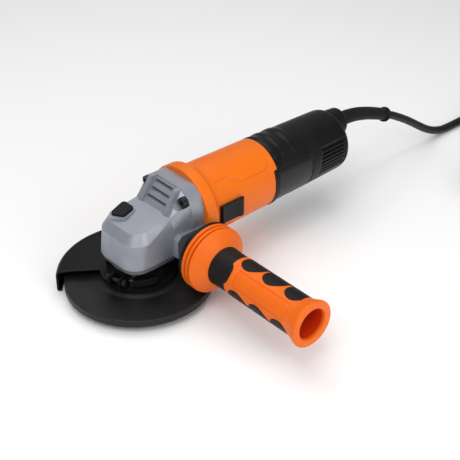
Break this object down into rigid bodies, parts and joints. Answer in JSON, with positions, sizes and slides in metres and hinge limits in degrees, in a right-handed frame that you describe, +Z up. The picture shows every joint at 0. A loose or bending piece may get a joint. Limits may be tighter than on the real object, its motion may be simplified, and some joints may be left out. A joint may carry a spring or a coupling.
{
  "type": "angle grinder",
  "caption": "Corded angle grinder with a swinging disc guard, side handle, spindle lock, slide switch, bevel gears, motor and a coiled mains cord.",
  "frame": {"origin": "on the spindle's axis, at the spindle's free end", "axes": "+Z up the spindle into the gear head, +X back along the motor to the cord, -Y along the side handle"},
  "size_m": [0.5431, 0.219, 0.089],
  "materials": {
    "cast_alloy": "satin",
    "orange_shell": "satin",
    "black_shell": "satin",
    "black_rubber": "matte",
    "painted_black": "satin",
    "abrasive": "rough",
    "steel": "machined",
    "dark_steel": "black oxide",
    "bearing_steel": "ground",
    "lamination": "stamped",
    "copper": "enamelled",
    "brass": "satin",
    "carbon": "matte",
    "dark_plastic": "matte",
    "film_capacitor": "satin",
    "cord_rubber": "matte"
  },
  "bodies": {
    "tool": {"gear_housing": "cast_alloy", "bearing_cover": "cast_alloy", "cover_screws": "dark_steel", "head_screws": "dark_steel", "spindle_bearing_outer": "bearing_steel", "bearing_balls": "bearing_steel", "needle_bearing": "bearing_steel", "lock_spring": "steel", "baffle_ring": "dark_plastic", "motor_housing": "orange_shell", "stator_core": "lamination", "field_coils": "copper", "front_bearing_outer": "bearing_steel", "rear_bearing_outer": "bearing_steel", "rear_bearing_sleeve": "black_rubber", "brush_holders": "brass", "carbon_brushes": "carbon", "switch_module": "dark_plastic", "rear_housing": "black_shell", "rear_screw": "dark_steel", "label_plate": "dark_plastic", "capacitor": "film_capacitor", "cord_clamp": "dark_plastic", "clamp_screws": "steel", "cord_sleeve": "black_rubber", "handle_washer": "black_shell", "handle_flange": "orange_shell", "handle_neck": "black_rubber", "handle_grip": "orange_shell", "grip_pads": "black_rubber", "handle_stud": "steel", "cord": "cord_rubber", "cord_coil": "cord_rubber", "plug_body": "black_rubber", "plug_pins": "brass"},
    "spindle_group": {"spindle": "steel", "crown_gear": "steel", "spindle_bearing_inner": "bearing_steel", "inner_flange": "steel", "clamp_nut": "dark_steel", "grinding_disc": "abrasive"},
    "armature_group": {"armature_shaft": "steel", "armature_core": "lamination", "armature_windings": "copper", "commutator": "copper", "fan": "dark_plastic", "pinion": "steel", "front_bearing_inner": "bearing_steel", "rear_bearing_inner": "bearing_steel"},
    "lock_group": {"lock_button": "black_shell", "lock_pin": "steel"},
    "switch_group": {"switch_button": "black_shell", "switch_rod": "dark_plastic"},
    "guard_group": {"guard": "painted_black", "guard_band": "painted_black", "band_screw": "steel", "lever_pin": "steel"},
    "clamp_lever": {"clamp_lever": "painted_black"}
  },
  "joints": [
    {"name": "spindle_spin", "type": "hinge", "parent": "tool", "child": "spindle_group", "pos_m": [0, 0, 0.03], "axis": [0, 0, 1], "continuous": true},
    {"name": "armature_spin", "type": "hinge", "parent": "tool", "child": "armature_group", "pos_m": [0.08, 0, 0.054], "axis": [1, 0, 0], "continuous": true},
    {"name": "lock_press", "type": "slide", "parent": "tool", "child": "lock_group", "axis": [0, 0, -1], "range_m": [0, 0.003], "stiffness_N_per_m": 600, "deforming": ["lock_spring"]},
    {"name": "switch_slide", "type": "slide", "parent": "tool", "child": "switch_group", "axis": [-1, 0, 0], "range_m": [0, 0.004]},
    {"name": "guard_swing", "type": "hinge", "parent": "tool", "child": "guard_group", "pos_m": [0, 0, 0.02], "axis": [0, 0, 1], "range_deg": [0, 100]},
    {"name": "lever_swing", "type": "hinge", "parent": "guard_group", "child": "clamp_lever", "pos_m": [-0.0201, -0.0181, 0.022], "axis": [0, 0, -1], "range_deg": [0, 40]}
  ],
  "couplings": [
    {"joint": "armature_spin", "follows": "spindle_spin", "ratio": 3}
  ]
}
